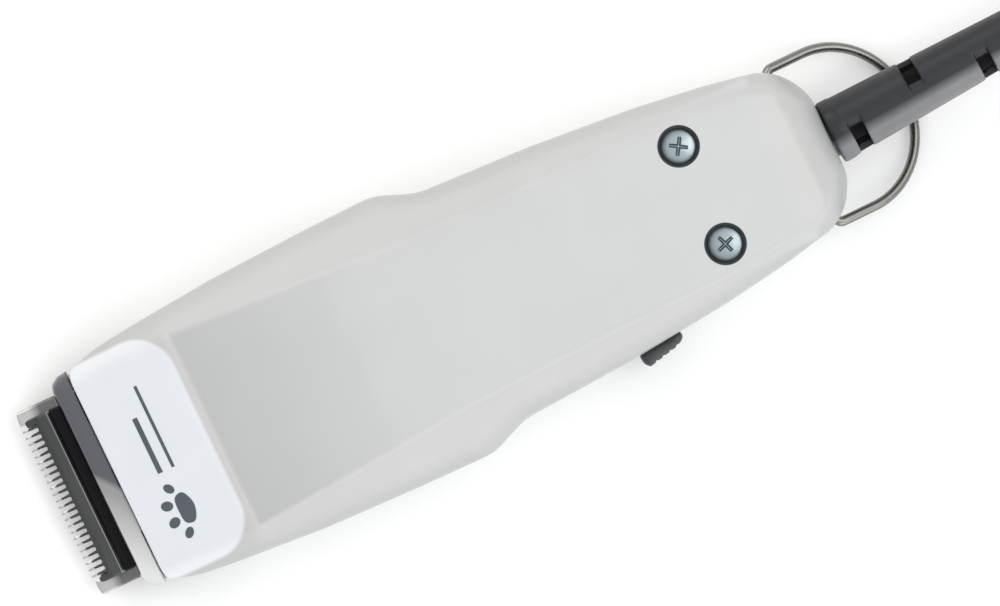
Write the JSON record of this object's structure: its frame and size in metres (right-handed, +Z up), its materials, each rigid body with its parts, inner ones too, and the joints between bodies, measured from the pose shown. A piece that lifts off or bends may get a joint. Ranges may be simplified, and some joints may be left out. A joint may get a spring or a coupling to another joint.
{
  "type": "electric pet clipper",
  "caption": "Corded pet hair clipper: two-part shell, comb blade and sliding cutter, vibrating lever drive, side thumb switch, wire hanging loop, and a mains cord with a two-pin plug.",
  "frame": {"origin": "middle of the flat underside, on the surface it rests on", "axes": "+X from the blade towards the cord, +Z up from the underside, the thumb switch on the -Y side"},
  "size_m": [0.367, 0.054, 0.033],
  "materials": {
    "cover_plastic": "satin light grey",
    "housing_plastic": "satin light grey",
    "nose_print": "dark print",
    "trim_chrome": "polished",
    "screw_zinc": "zinc plated",
    "comb_steel": "ground",
    "cutter_steel": "dark ground",
    "spring_steel": "bright",
    "core_steel": "laminated, dull",
    "coil_copper": "enamelled wire",
    "lever_alloy": "cast",
    "black_plastic": "matt",
    "switch_plastic": "matt dark grey",
    "stop_rubber": "soft matt",
    "loop_nickel": "nickel plated wire",
    "relief_rubber": "smooth dark grey",
    "cord_jacket": "smooth dark",
    "plug_rubber": "moulded, dark",
    "pin_nickel": "nickel plated",
    "wire_insulation": "plain",
    "plate_foil": "blank foil"
  },
  "bodies": {
    "housing": {"top_cover": "cover_plastic", "bottom_housing": "housing_plastic", "nose_trim": "trim_chrome", "cover_screws": "screw_zinc", "comb_blade": "comb_steel", "blade_screws": "screw_zinc", "tension_spring": "spring_steel", "stator_core": "core_steel", "coil_bobbin": "black_plastic", "coil_winding": "coil_copper", "core_screws": "screw_zinc", "pivot_pin": "spring_steel", "pivot_clip": "spring_steel", "return_springs": "spring_steel", "bump_stops": "stop_rubber", "switch_body": "black_plastic", "switch_screws": "screw_zinc", "strain_relief": "relief_rubber", "inner_cord": "cord_jacket", "cord_clamp": "black_plastic", "clamp_screws": "screw_zinc", "lead_wires": "wire_insulation", "rating_plate": "plate_foil", "cord_lead": "cord_jacket", "cord_hank": "cord_jacket", "cord_tail": "cord_jacket", "cord_tie": "black_plastic", "plug_body": "plug_rubber", "plug_pins": "pin_nickel"},
    "lever": {"drive_lever": "lever_alloy", "armature_block": "core_steel", "armature_rivets": "spring_steel"},
    "cutter": {"cutter_blade": "cutter_steel", "cutter_driver": "black_plastic"},
    "switch": {"switch_slider": "switch_plastic"},
    "loop": {"hanging_loop": "loop_nickel"},
    "stroke_screw": {"power_screw": "screw_zinc"}
  },
  "joints": [
    {"name": "lever_swing", "type": "hinge", "parent": "housing", "child": "lever", "pos_m": [0.033, 0, 0.011], "axis": [0, 0, 1], "range_deg": [-0.76, 0.76], "stiffness_Nm_per_rad": 1},
    {"name": "cutter_slide", "type": "slide", "parent": "housing", "child": "cutter", "axis": [0, 1, 0], "range_m": [-0.0012, 0.0012]},
    {"name": "switch_slide", "type": "slide", "parent": "housing", "child": "switch", "axis": [-0.9956, -0.0941, 0], "range_m": [0, 0.004]},
    {"name": "loop_pivot", "type": "hinge", "parent": "housing", "child": "loop", "pos_m": [0.0668, 0, 0.009], "axis": [0, 1, 0], "range_deg": [-13, 50]},
    {"name": "stroke_screw_turn", "type": "hinge", "parent": "housing", "child": "stroke_screw", "pos_m": [0.012, 0.0148, 0.008], "axis": [0, 1, 0], "range_deg": [-180, 180]}
  ],
  "couplings": [
    {"joint": "cutter_slide", "follows": "lever_swing", "m_per_rad": -0.091}
  ]
}
